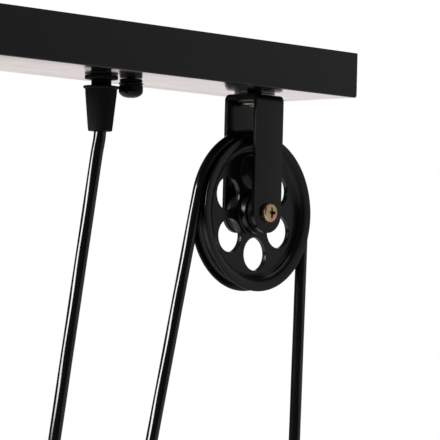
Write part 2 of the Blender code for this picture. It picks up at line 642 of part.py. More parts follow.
# ---- travelling block and counterweight --------------------------------------------------------------
def make_block():
    """Wheel in an upright yoke, with a turned iron counterweight on a screw below it."""
    block = add_joint_frame("block_frame", BLOCK_CENTRE)
    bridge = -BLOCK_WHEEL_RADIUS - 0.0095
    yoke = make_strap("block_yoke", bridge, 0.0, EAR_OUTSIDE, BLACK_PAINT, (0, 0, 0), block)
    combine(
        yoke, cutter_cylinder("cut_yoke_axle", AXLE_RADIUS + FIT, 0.05, (0, 0, 0), AXIS_Y, block)
    )
    combine(yoke, cutter_cylinder("cut_yoke_stem", 0.0026, 0.01, (0, 0, bridge), UPRIGHT, block))
    make_axle("block_", (0, 0, 0), block)
    turning = add_joint_frame("block_wheel_axis", (0, 0, 0))
    turning.parent = block
    make_wheel("block_wheel", BLOCK_WHEEL_RADIUS, 5, 0.0172, 0.0058, (0, 0, 0), AXIS_Y, turning)
    make_bush("block_bush", (0, 0, 0), turning)
    top = bridge - GAP
    length, radius = 0.030, 0.0165
    outline = [
        (0.0026, -length), (radius - 0.003, -length), (radius - 0.0008, -length + 0.0009),
        (radius, -length + 0.003), (radius, -0.003), (radius - 0.0008, -0.0009),
        (radius - 0.003, 0), (0.0026, 0),
    ]
    turned("counterweight", outline, BLACK_PAINT, (0, 0, top), UPRIGHT, block, segments=24)
    head = bridge + STRAP_THICKNESS + GAP
    foot = top - length - 0.0060
    outline = [
        (0, foot), (AXLE_RADIUS, foot), (AXLE_RADIUS, head), (0.0042, head),
        (0.0042, head + 0.0018), (0.0032, head + 0.0026), (0, head + 0.0026),
    ]
    turned("counterweight_bolt", outline, YELLOW_ZINC, (0, 0, 0), UPRIGHT, block)
    hex_nut(
        "counterweight_nut", AXLE_RADIUS + FIT, 0.008, 0.0040, YELLOW_ZINC,
        (0, 0, top - length - GAP - 0.0040), UPRIGHT, block,
    )


# ---- lamp end of the cord ----------------------------------------------------------------------------
def make_lamp_end():
    """Cord grip the other way up, with a hollow M10 nipple and nut to take a lampholder or shade."""
    low = LAMP_GRIP_TOP - GRIP_LENGTH
    lamp_end = add_joint_frame("lamp_end_frame", (LAMP_RUN_END.x, 0, low))
    turned(
        "lamp_grip", grip_outline(NIPPLE_DEPTH_IN_GRIP), BLACK_NYLON, (0, 0, 0), UPSIDE_DOWN, lamp_end
    )
    high = NIPPLE_DEPTH_IN_GRIP - GAP
    turned("lamp_nipple", nipple_outline(-0.0080, high), BRIGHT_ZINC, (0, 0, 0), UPRIGHT, lamp_end)
    hex_nut(
        "lamp_lock_nut", THREAD_RADIUS + FIT, 0.014, 0.0025, BRIGHT_ZINC,
        (0, 0, -GAP - 0.0025), UPRIGHT, lamp_end,
    )


make_mounting_bar()
make_studs()
make_canopy()
make_cap_nuts()
make_gland()
make_terminal_block()
make_wiring()
make_fixed_pulley()
make_cords()
make_block()
make_lamp_end()
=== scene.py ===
"""Ceiling pulley rack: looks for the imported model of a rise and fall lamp's ceiling part.

A black steel canopy bar carries a cord gland and a grooved pulley in a U bracket. The lamp cord leaves
the gland, loops round a travelling counterweight block, goes over the pulley and drops to the lamp end.
Metres throughout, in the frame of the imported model: +X along the bar, +Y to the back, +Z up.
"""

import bpy
import numpy as np
from mathutils import Matrix, Vector


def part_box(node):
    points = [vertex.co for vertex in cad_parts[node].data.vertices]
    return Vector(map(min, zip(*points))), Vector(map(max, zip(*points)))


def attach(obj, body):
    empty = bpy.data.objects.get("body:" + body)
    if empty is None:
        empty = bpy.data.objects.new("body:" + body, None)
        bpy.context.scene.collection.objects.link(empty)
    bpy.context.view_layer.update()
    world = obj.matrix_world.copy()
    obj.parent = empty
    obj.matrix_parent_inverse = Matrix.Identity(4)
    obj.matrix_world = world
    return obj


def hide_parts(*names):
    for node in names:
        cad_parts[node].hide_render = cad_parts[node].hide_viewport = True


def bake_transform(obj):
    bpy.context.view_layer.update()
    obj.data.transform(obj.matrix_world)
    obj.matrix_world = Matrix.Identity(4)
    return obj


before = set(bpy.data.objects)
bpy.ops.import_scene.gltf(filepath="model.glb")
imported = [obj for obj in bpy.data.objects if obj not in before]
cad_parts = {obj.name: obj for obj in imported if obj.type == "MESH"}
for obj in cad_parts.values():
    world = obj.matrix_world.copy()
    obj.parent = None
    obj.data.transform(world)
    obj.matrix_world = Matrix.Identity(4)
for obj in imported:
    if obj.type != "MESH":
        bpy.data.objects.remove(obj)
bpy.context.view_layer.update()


# ---- Studio -----------------------------------------------------------------------------------------
# A pale floor well below the hanging weight, a white surround, and large soft lights. Black gloss shows
# only what it mirrors: a bright panel at the left draws the stripe down each cord, a dim one at the
# right front greys the faces, and a white panel behind lights the underside of the canopy at a glance.
def linear(colour):
    """sRGB hex to linear light: c / 12.92 for dark channels, else (c + 0.055) / 1.055 to the power 2.4."""
    parts = [int(colour[k:k + 2], 16) / 255 for k in (1, 3, 5)]
    return [c / 12.92 if c <= 0.04045 else ((c + 0.055) / 1.055) ** 2.4 for c in parts] + [1.0]


def plug(tree, node, inputs):
    """Fills a node's sockets: a value is set, and another node's output is linked."""
    for key, value in inputs.items():
        if isinstance(value, bpy.types.NodeSocket):
            tree.links.new(value, node.inputs[key])
        else:
            node.inputs[key].default_value = value
    return node


def add(tree, kind, inputs=None, **settings):
    """Adds one node. settings go on the node itself, and inputs go on its sockets."""
    node = tree.nodes.new(kind)
    for key, value in settings.items():
        setattr(node, key, value)
    return plug(tree, node, inputs or {})


def blank(name):
    """A new material, with its node tree and the Principled BSDF in it."""
    made = bpy.data.materials.new(name)
    made.use_nodes = True
    return made, made.node_tree, made.node_tree.nodes["Principled BSDF"]


def middle(*nodes):
    """Middle of the box that holds these CAD nodes."""
    boxes = [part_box(node) for node in nodes]
    lows, highs = [b[0] for b in boxes], [b[1] for b in boxes]
    return (np.min(lows, axis=0) + np.max(highs, axis=0)) / 2


def softbox(name, bearing, distance, wide, tall, brightness):
    """Area light that faces the pulley from a bearing, brightness times as bright as white paper."""
    lamp = bpy.data.lights.new(name, "AREA")
    lamp.shape, lamp.size, lamp.size_y = "RECTANGLE", wide, tall
    lamp.energy = brightness * np.pi * wide * tall
    thing = bpy.data.objects.new(name, lamp)
    bpy.context.collection.objects.link(thing)
    thing.location = Vector(PULLEY) + Vector(bearing).normalized() * distance
    thing.rotation_mode = "QUATERNION"
    thing.rotation_quaternion = (-Vector(bearing)).to_track_quat("-Z", "Y")
    thing.visible_camera = False
    return thing


PULLEY = middle("sheave")
EYE = (-0.80217, -0.87102, -0.13271)  # the viewer stands in front and to the left, a little low
YAW, PITCH, ROLL = np.radians((46.9607, 1.9753, 1.4661))

camera = bpy.data.objects.new("camera", bpy.data.cameras.new("camera"))
bpy.context.collection.objects.link(camera)
camera.data.sensor_width, camera.data.lens = 36.0, 208.07
camera.data.clip_start, camera.data.clip_end = 0.05, 50.0
turns = [(-YAW, "Z"), (np.pi / 2 + PITCH, "X"), (ROLL, "Z")]
turns = [Matrix.Rotation(angle, 4, axis) for angle, axis in turns]
camera.matrix_world = Matrix.Translation(EYE) @ turns[0] @ turns[1] @ turns[2]
bpy.context.scene.camera = camera

softbox("panel_left", (-0.933, 0.358, 0.344), 1.6, 0.80, 0.62, 24.0)
softbox("panel_right_front", (0.731, -0.682, -0.05), 2.5, 3.4, 3.0, 0.40)
softbox("panel_behind", (0.685, 0.729, -0.22), 2.4, 1.7, 3.4, 1.38).data.color = linear("#fff5f4")[:3]
softbox("panel_above", (0.1, -0.2, 1.0), 2.2, 2.0, 2.0, 1.0)

world = bpy.data.worlds.new("surround")
bpy.context.scene.world = world
world.use_nodes = True
tree = world.node_tree
tree.nodes.clear()
seen = add(tree, "ShaderNodeLightPath").outputs["Is Camera Ray"]
white = add(tree, "ShaderNodeBackground", {"Color": (1, 1, 1, 1), "Strength": 1.0})
dim = add(tree, "ShaderNodeBackground", {"Color": linear("#eef1f4"), "Strength": 0.07})
both = add(tree, "ShaderNodeMixShader", {0: seen, 1: dim.outputs[0], 2: white.outputs[0]})
add(tree, "ShaderNodeOutputWorld", {"Surface": both.outputs[0]})
bpy.context.scene.view_settings.view_transform = "Standard"


def surface(name, grids, uv=None, sharp=35):
    """One closed mesh from grids of points (rows x columns x 3): each cell is a face that looks along the row
    step crossed with the column step, and points in one place become one. uv holds a grid's UV pairs."""
    points = np.concatenate([np.reshape(g, (-1, 3)) for g in grids])
    cells, start = [], 0
    for g in grids:
        n = start + np.arange(g.shape[0] * g.shape[1]).reshape(g.shape[:2])
        cells.append(np.stack([n[:-1, :-1], n[1:, :-1], n[1:, 1:], n[:-1, 1:]], -1).reshape(-1, 4))
        start += n.size
    cells = np.concatenate(cells)
    tenth_microns = np.round(points * 1e7).astype(np.int64)
    _, first, joined = np.unique(tenth_microns, axis=0, return_index=True, return_inverse=True)
    corners = joined.reshape(-1)[cells]
    differs = corners != np.roll(corners, 1, axis=1)
    sides = differs.sum(axis=1)
    quads, thirds = corners[sides == 4], differs[sides == 3]
    triangles = corners[sides == 3][thirds].reshape(-1, 3)
    mesh = bpy.data.meshes.new(name)
    mesh.from_pydata(points[first].tolist(), [], quads.tolist() + triangles.tolist())
    if uv is not None:
        source = np.concatenate([cells[sides == 4].reshape(-1), cells[sides == 3][thirds]])
        layer = mesh.uv_layers.new(name="along")
        layer.data.foreach_set("uv", np.reshape(uv, (-1, 2))[source].reshape(-1))
    mesh.shade_smooth()
    mesh.set_sharp_from_angle(angle=np.radians(sharp))
    thing = bpy.data.objects.new(name, mesh)
    bpy.context.collection.objects.link(thing)
    return thing


FLOOR_HALF, FLOOR_HEIGHT = 4.2, -0.62
ground = np.array([[(-1.0, -1.0, 0.0), (-1.0, 1.0, 0.0)], [(1.0, -1.0, 0.0), (1.0, 1.0, 0.0)]])
floor = surface("floor", [ground * FLOOR_HALF + (0, 0, FLOOR_HEIGHT)])
chalk, tree, body = blank("matt_white_floor")
spot = add(tree, "ShaderNodeTexCoord").outputs["Object"]
cloud = add(tree, "ShaderNodeTexNoise", {"Vector": spot, "Scale": 3.0, "Detail": 3.0}).outputs[0]
tint = add(tree, "ShaderNodeMix", {0: cloud, 6: linear("#f1f0ee"), 7: linear("#f8f8f7")}, data_type="RGBA")
plug(tree, body, {"Base Color": tint.outputs[2], "Roughness": 0.9})
floor.data.materials.append(chalk)


# ---- Canopy -----------------------------------------------------------------------------------------
# Cover folded from 1.2 mm mild steel sheet, open at the top, its corners welded and ground. Satin black
# powder coat: baked plastic powder, with a fine orange peel and soft, blurred reflections.
def rounded(corners, steps=5):
    """Outline through (across, up, ease) corners: each is a parabola arc that runs from ease before the
    corner to ease after it."""
    c = np.array(corners, float)
    t = np.linspace(0, 1, steps + 1)[:, None]
    path = [c[:1, :2]]
    for k in range(1, len(c) - 1):
        here, ease = c[k, :2], c[k, 2]
        if ease == 0:
            path.append(here[None])
            continue
        back, ahead = c[k - 1, :2] - here, c[k + 1, :2] - here
        a, b = here + back / np.hypot(*back) * ease, here + ahead / np.hypot(*ahead) * ease
        path.append(a * (1 - t) ** 2 + 2 * here * t * (1 - t) + b * t**2)
    return np.concatenate([*path, c[-1:, :2]])


def fit(piece, finish, body, slot, *nodes):
    """Gives a piece its finish, and says which body it rides on and the CAD nodes it stands for. slot is not
    used.
    """
    piece.data.materials.clear()
    piece.data.materials.append(finish)
    if body:
        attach(piece, body)
    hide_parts(*nodes)
    return piece


def coating(name, dark, light, smooth, rough, peel, grain, shine):
    """A black finish: colour and roughness wander slowly with Object coordinates, over a fine bump whose
    grains are grain metres wide and peel metres deep. smooth and rough bound the roughness, and shine is the
    specular level, where 0.5 is that of clear resin and a pigmented or chalky skin has less."""
    made, tree, body = blank(name)
    drift = 0.012  # metres from one cloud of colour to the next
    spot = add(tree, "ShaderNodeTexCoord").outputs["Object"]
    slow = add(tree, "ShaderNodeTexNoise", {"Vector": spot, "Scale": 1 / drift, "Detail": 3.0}).outputs[0]
    fine = add(tree, "ShaderNodeTexNoise", {"Vector": spot, "Scale": 1 / grain, "Detail": 2.0}).outputs[0]
    mixed = add(tree, "ShaderNodeMath", {0: slow, 1: 0.7}, operation="MULTIPLY").outputs[0]
    mixed = add(tree, "ShaderNodeMath", {0: fine, 1: 0.3, 2: mixed}, operation="MULTIPLY_ADD").outputs[0]
    spread = {"Value": mixed, "From Min": 0.3, "From Max": 0.7, "To Min": 0.0, "To Max": 1.0}
    share = add(tree, "ShaderNodeMapRange", spread).outputs[0]
    colour = add(tree, "ShaderNodeMix", {0: share, 6: linear(dark), 7: linear(light)}, data_type="RGBA")
    gloss = add(tree, "ShaderNodeMapRange", {"Value": share, "To Min": smooth, "To Max": rough}).outputs[0]
    bump = add(tree, "ShaderNodeBump", {"Height": fine, "Strength": 1.0, "Distance": peel}).outputs[0]
    skin = {"Base Color": colour.outputs[2], "Roughness": gloss, "Normal": bump, "Specular IOR Level": shine}
    plug(tree, body, skin)
    return made


CANOPY = np.array(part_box("canopy_tray"))
HALF_LONG, HALF_DEEP = CANOPY[1][:2]
CANOPY_FOOT = CANOPY[0][2]
SHEET, FOLD, CORNER = 0.0012, 0.0014, 0.0014  # sheet thickness, outer fold radius, outer corner radius


def box_outline(inset):
    """Rounded rectangle, anticlockwise from +X, moved inwards by inset: corner centres shift once the
    corner radius is used up, until the outline is a line along the middle."""
    quarter = np.radians(np.linspace(0, 90, 7))
    turn = np.concatenate([quarter + k * np.pi / 2 for k in range(4)] + [quarter[:1] + 2 * np.pi])
    signs = np.concatenate([np.tile(s, (7, 1)) for s in ((1, 1), (-1, 1), (-1, -1), (1, -1))] + [[(1, 1)]])
    centre = np.array((HALF_LONG, HALF_DEEP)) - np.maximum(CORNER, inset)
    return signs * centre + np.maximum(CORNER - inset, 0) * np.stack([np.cos(turn), np.sin(turn)], -1)


wall = rounded([
    (HALF_DEEP, CANOPY_FOOT + SHEET, 0), (SHEET, CANOPY_FOOT + SHEET, FOLD - SHEET), (SHEET, 0, 0.0003),
    (0, 0, 0.0003), (0, CANOPY_FOOT, FOLD), (HALF_DEEP, CANOPY_FOOT, 0),
])
levels = [np.insert(box_outline(inset), 2, z, axis=1) for inset, z in wall]
canopy = surface("canopy_tray_visual", [np.array(levels)])

UPRIGHT = np.eye(3)
UPSIDE_DOWN = np.diag((1.0, -1.0, -1.0))
TO_FRONT = np.array([(1.0, 0, 0), (0, 0, -1.0), (0, 1.0, 0)])  # a piece's own up looks along -Y
TO_BACK = np.array([(1.0, 0, 0), (0, 0, 1.0), (0, -1.0, 0)])  # and here along +Y


def lathe(profile, place, turn=UPRIGHT, steps=64, reach=None):
    """Grid of a turned shape: each (radius, height) of the profile, listed from the top centre outwards and
    down, goes once round. reach(radius, angle, height) may change the radius as it goes round."""
    angle = np.linspace(0, 2 * np.pi, steps + 1)[None, :]
    radius, height = profile[:, :1] + 0 * angle, profile[:, 1:] + 0 * angle
    if reach:
        radius = reach(radius, angle, height)
    angle = angle % (2 * np.pi)
    local = np.stack([radius * np.cos(angle), radius * np.sin(angle), height], -1)
    return local @ turn.T + np.array(place)


def bored(piece, tools):
    """Cuts the tool shapes out of a piece, and keeps the result as the piece's mesh."""
    for tool in tools:
        drill = surface("drill", [tool])
        step = piece.modifiers.new("bore", "BOOLEAN")
        step.operation, step.solver, step.object = "DIFFERENCE", "MANIFOLD", drill
        seen_by = bpy.context.evaluated_depsgraph_get()
        piece.data = bpy.data.meshes.new_from_object(piece.evaluated_get(seen_by))
        piece.modifiers.clear()
        bpy.data.objects.remove(drill)
    piece.data.shade_smooth()
    piece.data.set_sharp_from_angle(angle=np.radians(35))
    return piece


def rod(radius, half):
    """Profile of a plain rod, half its length either side of its middle."""
    return np.array([(0, half), (radius, half), (radius, -half), (0, -half)])


GLAND, BRACKET_BOLT = middle("gland_grip"), middle("bracket_bolt")
STUDS = [middle("stud_left"), middle("stud_right")]
GLAND_HOLE, BOLT_HOLE, STUD_HOLE = 0.0053, 0.0043, 0.0025  # radii of the holes in the canopy's floor
NOTCH_Z, NOTCH_RADIUS, NOTCH_DEPTH = -0.0052, 0.00215, 0.0007  # half-round notch in each front corner
THROUGH = 0.005  # half the length of a drill
holes = [(GLAND[0], GLAND_HOLE), (BRACKET_BOLT[0], BOLT_HOLE), *[(stud[0], STUD_HOLE) for stud in STUDS]]
drills = [lathe(rod(r, THROUGH), (x, 0, CANOPY_FOOT), steps=32) for x, r in holes]
for way in (-1, 1):
    spot = (way * (HALF_LONG + NOTCH_RADIUS - NOTCH_DEPTH), -HALF_DEEP, NOTCH_Z)
    drills.append(lathe(rod(NOTCH_RADIUS, 0.0035), spot, TO_FRONT, steps=32))
powder_coat = coating("satin_black_powder_coat", "#0f0f10", "#131314", 0.15, 0.19, 0.0000015, 0.0009, 0.25)
fit(bored(canopy, drills), powder_coat, "ceiling_side", "satin_black_paint", "canopy_tray")


# ---- Mounting bar, studs and their nuts -------------------------------------------------------------
# Punched steel strip that screws to the ceiling, with two M4 studs and a nut on each. Bright zinc plate:
# a thin cold-grey metal layer with faint spangle, and fine lines from the rolling along the bar.
def plating(name, dark, light, smooth, rough, spangle, stretch=(1, 1, 1), third=None):
    """A plated metal: tint and roughness change from grain to grain, spangle metres wide. stretch draws the
    grains out along an axis, as rolling does, and third is one more tint, as yellow passivation shows. The
    narrow corners get painted shade, a dark brown found by ambient occlusion within corner metres."""
    made, tree, body = blank(name)
    corner, relief = 0.0012, 0.000006
    spot = add(tree, "ShaderNodeTexCoord").outputs["Object"]
    spot = add(tree, "ShaderNodeMapping", {"Vector": spot, "Scale": stretch}).outputs[0]
    grain = add(tree, "ShaderNodeTexNoise", {"Vector": spot, "Scale": 1 / spangle, "Detail": 4.0}).outputs[0]
    share = add(tree, "ShaderNodeMapRange", {"Value": grain, "From Min": 0.35, "From Max": 0.65}).outputs[0]
    tint = add(tree, "ShaderNodeMix", {0: share, 6: linear(dark), 7: linear(light)}, data_type="RGBA")
    if third:
        wide = {"Vector": spot, "Scale": 0.6 / spangle, "Detail": 2.0}
        part = add(tree, "ShaderNodeTexNoise", wide).outputs[1]
        part = add(tree, "ShaderNodeSeparateColor", {0: part}).outputs[1]
        part = add(tree, "ShaderNodeMapRange", {"Value": part, "From Min": 0.46, "From Max": 0.62}).outputs[0]
        ends = {0: part, 6: tint.outputs[2], 7: linear(third)}
        tint = add(tree, "ShaderNodeMix", ends, data_type="RGBA")
    # painted shade: ambient occlusion blends a dark brown into the tint in corners, recesses and thread roots
    ao_for_painted_shade = add(tree, "ShaderNodeAmbientOcclusion", {"Distance": corner}, samples=8).outputs["AO"]
    reach = {"Value": ao_for_painted_shade, "From Min": 0.45, "From Max": 0.9}
    unshaded = add(tree, "ShaderNodeMapRange", reach).outputs[0]
    ends = {0: unshaded, 6: linear("#20160e"), 7: tint.outputs[2]}
    tint = add(tree, "ShaderNodeMix", ends, data_type="RGBA")
    gloss = add(tree, "ShaderNodeMapRange", {"Value": grain, "To Min": smooth, "To Max": rough}).outputs[0]
    bump = add(tree, "ShaderNodeBump", {"Height": grain, "Strength": 1.0, "Distance": relief}).outputs[0]
    plug(tree, body, {"Base Color": tint.outputs[2], "Roughness": gloss, "Normal": bump, "Metallic": 1.0})
    return made


def hex_nut(node, flats, bore, turn=UPRIGHT, chamfer=0.0004):
    """Nut in a CAD node's box: the radius goes round a hexagon, but no further than a cone at each face."""
    low, high = np.array(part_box(node))
    half = abs((high - low) @ turn)[2] / 2

    def six_sided(radius, angle, height):
        flat = flats / 2 / np.cos(angle % (np.pi / 3) - np.pi / 6)
        cone = flats / 2 + 1.2 * (half - np.abs(height)) + 0.0001
        return np.where(radius > bore * 1.2, np.minimum(flat, cone) * radius / (flats / 2), radius)

    edge = flats / 2
    upper = [(bore, half - chamfer), (bore + chamfer, half), (edge, half), (edge, half - chamfer / 2),
             (edge, half - chamfer), (edge, half - 2 * chamfer)]
    lower = [(r, -z) for r, z in upper[::-1]]
    profile = np.array([*upper, *lower, upper[0]])
    return surface(f"{node}_visual", [lathe(profile, (low + high) / 2, turn, 72, six_sided)], sharp=25)


rolled_zinc = plating("rolled_bright_zinc", "#a9adb2", "#c9ccd0", 0.28, 0.42, 0.0016, (0.12, 1, 1))
bright_zinc = plating("bright_zinc_plate", "#aeb1b6", "#cfd1d4", 0.2, 0.34, 0.0012)


def pill(profile, half, x=0.0, steps=17):
    """Grid of a bar with half-round ends: each (radius, height) of the profile goes round two half circles,
    half metres either side of x, and straight along between them."""
    turn = np.radians(np.concatenate([np.linspace(-90, 90, steps), np.linspace(90, 270, steps), [-90]]))
    shift = np.concatenate([np.full(steps, half), np.full(steps, -half), [half]])
    rows = [np.stack([x + shift + r * np.cos(turn), r * np.sin(turn), z + 0 * turn], -1) for r, z in profile]
    return np.array(rows)


bar = np.array(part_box("mounting_bar"))
bar_foot, bar_end, bar_run = bar[0][2], bar[1][1], bar[1][0] - bar[1][1]
BAR_EASE = 0.00025
section = rounded([(0, 0, 0), (bar_end, 0, BAR_EASE), (bar_end, bar_foot, BAR_EASE), (0, bar_foot, 0)], 3)
mounting_bar = surface("mounting_bar_visual", [pill(section, bar_run)])

M4_BORE, M4_FLATS, M4_PITCH, M4_DEPTH, STUD_RADIUS = 0.0021, 0.007, 0.0007, 0.00022, 0.0020
SLOT_HALF, SLOT_RADIUS, SLOT_PLACES = 0.006, 0.0022, (-0.030, 0.030)  # slots for the ceiling screws
drills = [lathe(rod(M4_BORE, THROUGH), (stud[0], 0, 0), steps=32) for stud in STUDS]
drills += [pill(rod(SLOT_RADIUS, THROUGH), SLOT_HALF, x, 9) for x in SLOT_PLACES]
fit(bored(mounting_bar, drills), rolled_zinc, "ceiling_side", "bright_zinc", "mounting_bar")


def screw_thread(root, depth, pitch, low, high):
    """A reach for lathe: between low and high the radius rises from root to root + depth once a pitch, as a
    rounded ridge whose phase turns with the angle, so the ridge winds up the shaft."""
    def wind(radius, angle, height):
        phase = (height / pitch - angle / (2 * np.pi)) % 1.0
        ridge = root + depth * np.clip(1.35 - 2.7 * np.abs(phase - 0.5), 0, 1)
        fade = np.clip(np.minimum(height - low, high - height) / pitch, 0, 1)
        return np.where(radius > root * 0.9, root + (ridge - root) * fade, radius)
    return wind


def threaded(node, radius, depth, pitch, bore=0.0, turn=UPRIGHT):
    """Threaded rod or hollow nipple in a CAD node's box, its ends cut back to the root of the thread."""
    low, high = np.array(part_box(node))
    half = abs((high - low) @ turn)[2] / 2
    rows = np.linspace(half - 0.0003, 0.0003 - half, int(2 * half / pitch * 10))
    shaft = np.column_stack([np.full(len(rows), radius), rows])
    root = radius - depth
    profile = [(bore, half), (root, half), *shaft, (root, -half), (bore, -half)]
    profile = np.array(profile + [(bore, half)] * (bore > 0))
    wind = screw_thread(root, depth, pitch, -half, half)
    return surface(f"{node}_visual", [lathe(profile, (low + high) / 2, turn, 48, wind)], sharp=60)


for word in ("left", "right"):
    stud = threaded(f"stud_{word}", STUD_RADIUS, M4_DEPTH, M4_PITCH)
    fit(stud, bright_zinc, "ceiling_side", "bright_zinc", f"stud_{word}")
    nut = hex_nut(f"stud_nut_{word}", M4_FLATS, M4_BORE)
    fit(nut, bright_zinc, "ceiling_side", "bright_zinc", f"stud_nut_{word}")


# ---- Cap nuts ---------------------------------------------------------------------------------------
# Turned steel nuts with a blind thread, a finger groove under the collar, a straight knurl and a low
# dome, each on a nylon washer. Gloss black lacquer: deep black, nearly a mirror where it isn't knurled.
lacquer = coating("gloss_black_lacquer", "#040405", "#070708", 0.18, 0.24, 0.000002, 0.0012, 0.20)
KNURL_RIDGES, KNURL_DEPTH = 44, 0.00018
BLIND_DEPTH, DOME_TALL = 0.0046, 0.0034  # the blind thread, and the dome's height from the nut's foot

for word in ("left", "right"):
    low, high = np.array(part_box(f"cap_nut_{word}"))
    radius, tall = (high - low)[0] / 2, high[2] - low[2]
    dome_top = DOME_TALL - tall
    seat = (middle(f"cap_nut_{word}")[0], 0, high[2])

    def knurled(r, angle, height):
        """Radius less a ridge wave round the nut, faded out above the groove and on the dome."""
        fade = np.clip((-0.0018 - height) / 0.0003, 0, 1) * np.clip((height - dome_top) / 0.0008 + 1, 0, 1)
        wave = 0.5 - 0.5 * np.cos(KNURL_RIDGES * angle)
        return np.where(r > 0.9 * radius, r - KNURL_DEPTH * wave * fade, r)

    cap = np.radians(np.linspace(0, 84, 10))
    dome = [(radius * (0.15 + 0.85 * np.cos(a)), dome_top - (tall + dome_top) * np.sin(a), 0) for a in cap]
    shape = rounded([
        (M4_BORE, -BLIND_DEPTH, 0), (M4_BORE, 0, 0.0002), (radius * 0.96, 0, 0.0002),
        (radius, -0.0003, 0.0001), (radius, -0.0009, 0.0002), (radius * 0.91, -0.0013, 0.0002),
        (radius, -0.0017, 0.0002), (radius, -0.0022, 0.0001), *dome, (radius * 0.1, -tall, 0), (0, -tall, 0),
    ], 4)
    shape = np.concatenate([[(0, -BLIND_DEPTH)], shape])
    cap_nut = surface(f"cap_nut_{word}_visual", [lathe(shape, seat, steps=KNURL_RIDGES * 6, reach=knurled)])
    fit(cap_nut, lacquer, "ceiling_side", "gloss_black_paint", f"cap_nut_{word}")


def washer(node, bore, edge=0.0002, turn=UPRIGHT):
    """Ring in a CAD node's box with eased edges."""
    low, high = np.array(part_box(node))
    size = abs((high - low) @ turn) / 2
    outer, half = size[0], size[2]
    shape = rounded([
        (bore, 0, 0), (bore, half, edge), (outer, half, edge), (outer, -half, edge), (bore, -half, edge),
        (bore, 0, 0),
    ], 3)
    return surface(f"{node}_visual", [lathe(shape, (low + high) / 2, turn)])


nylon = coating("moulded_black_nylon", "#050505", "#090909", 0.58, 0.72, 0.00001, 0.0005, 0.17)
for word in ("left", "right"):
    ring = washer(f"cap_nut_washer_{word}", M4_BORE, 0.0003)
    fit(ring, nylon, "ceiling_side", "black_nylon", f"cap_nut_washer_{word}")


# ---- Cord gland -------------------------------------------------------------------------------------
# A hollow M10 nipple goes through the canopy, held by a flange nut below and a steel nut above. The cord
# grip screws on to it. All moulded in black nylon: near matt, with fine ribs down the tapered grip.
NECK_RADIUS, NECK_PITCH, NECK_DEPTH, CORD_BORE = 0.0050, 0.0010, 0.00045, 0.0033
M10_BORE, M10_FLATS = 0.0051, 0.014
nipple = threaded("gland_nipple", NECK_RADIUS, NECK_DEPTH, NECK_PITCH, CORD_BORE)
fit(nipple, nylon, "ceiling_side", "black_nylon", "gland_nipple")

low, high = np.array(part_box("gland_flange_nut"))
thick, outer = high[2] - low[2], (high - low)[0] / 2
shape = rounded([
    (M10_BORE, -thick / 2, 0), (M10_BORE, 0, 0.0001), (outer, 0, 0.00015), (outer, -thick, 0.0005),
    (0.0066, -thick, 0.0003), (0.0062, -thick - 0.0001, 0.0001), (M10_BORE, -thick, 0.0001),
    (M10_BORE, -thick / 2, 0),
], 4)
flange_nut = surface("gland_flange_nut_visual", [lathe(shape, (GLAND[0], 0, high[2]))])
fit(flange_nut, nylon, "ceiling_side", "black_nylon", "gland_flange_nut")
lock_nut = hex_nut("gland_lock_nut", M10_FLATS, M10_BORE)
fit(lock_nut, bright_zinc, "ceiling_side", "bright_zinc", "gland_lock_nut")

RIBS, RIB_DEPTH = 36, 0.00016


def cord_grip(name, place, turn, length):
    """Tapered grip from its lip down: the radius falls in a straight line from neck to tip, and a ribbed wave
    round it fades out under the lip and at the tip's eased edge."""
    lip, neck, tip = 0.0086, 0.00765, 0.0058

    def ribbed(radius, angle, height):
        fade = np.clip((-0.0022 - height) / 0.0006, 0, 1) * np.clip((height + length - 0.0007) / 0.0006, 0, 1)
        wave = np.abs(np.sin(RIBS * angle / 2)) - 0.6
        return np.where(radius > tip * 0.97, radius + RIB_DEPTH * wave * fade, radius)

    socket = 0.0060  # how deep the nipple's thread goes in
    taper = np.linspace(0, 1, 14)
    side = [(neck + (tip - neck) * t, -0.0020 - (length - 0.0026) * t, 0.00001) for t in taper]
    shape = rounded([
        (M10_BORE, -socket, 0), (M10_BORE, 0, 0.0002), (lip, 0, 0.0003), (lip, -0.0010, 0.0003),
        (neck, -0.0014, 0.0003), *side, (tip, -length, 0.0003), (CORD_BORE, -length, 0.0003),
        (CORD_BORE, -socket, 0), (M10_BORE, -socket, 0),
    ], 4)
    return surface(name, [lathe(shape, place, turn, RIBS * 8, ribbed)])


low, high = np.array(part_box("gland_grip"))
GRIP_LENGTH = high[2] - low[2]
grip = cord_grip("gland_grip_visual", (GLAND[0], 0, high[2]), UPRIGHT, GRIP_LENGTH)
fit(grip, nylon, "ceiling_side", "black_nylon", "gland_grip")


# ---- Wiring inside the canopy -----------------------------------------------------------------------
# The cord's three cores: brown live and blue neutral go to a three-way nylon terminal strip with zinc
# screws, green and yellow to an earth screw through the sheet. Extruded soft PVC over stranded copper.
def tube(name, path, radius, across=(0, 1, 0), sides=32):
    """Round tube along a path: each ring stands square to the path's direction, in the two directions made
    from it and the vector across. It closes on its axis at both ends, and UV is metres along and round."""
    path = np.array(path, float)
    step = np.diff(path, axis=0)
    ahead = np.concatenate([step[:1], step[:-1] + step[1:], step[-1:]])
    ahead /= np.linalg.norm(ahead, axis=1)[:, None]
    first = np.cross(across, ahead)
    first /= np.linalg.norm(first, axis=1)[:, None]
    second = np.cross(ahead, first)
    angle = np.linspace(0, 2 * np.pi, sides + 1)
    angle[-1] = 0
    ring = first[:, None] * np.cos(angle)[:, None] - second[:, None] * np.sin(angle)[:, None]
    grid = path[:, None] + radius * ring
    ends = [np.tile(path[k], (1, sides + 1, 1)) for k in (0, -1)]
    run = np.concatenate([[0], np.cumsum(np.linalg.norm(step, axis=1))])
    run = np.concatenate([run[:1], run, run[-1:]])
    turn = np.linspace(0, 2 * np.pi * radius, sides + 1)
    uv = np.stack(np.meshgrid(run, turn, indexing="ij"), -1)
    return surface(name, [np.concatenate([ends[0], grid, ends[1]])], uv)


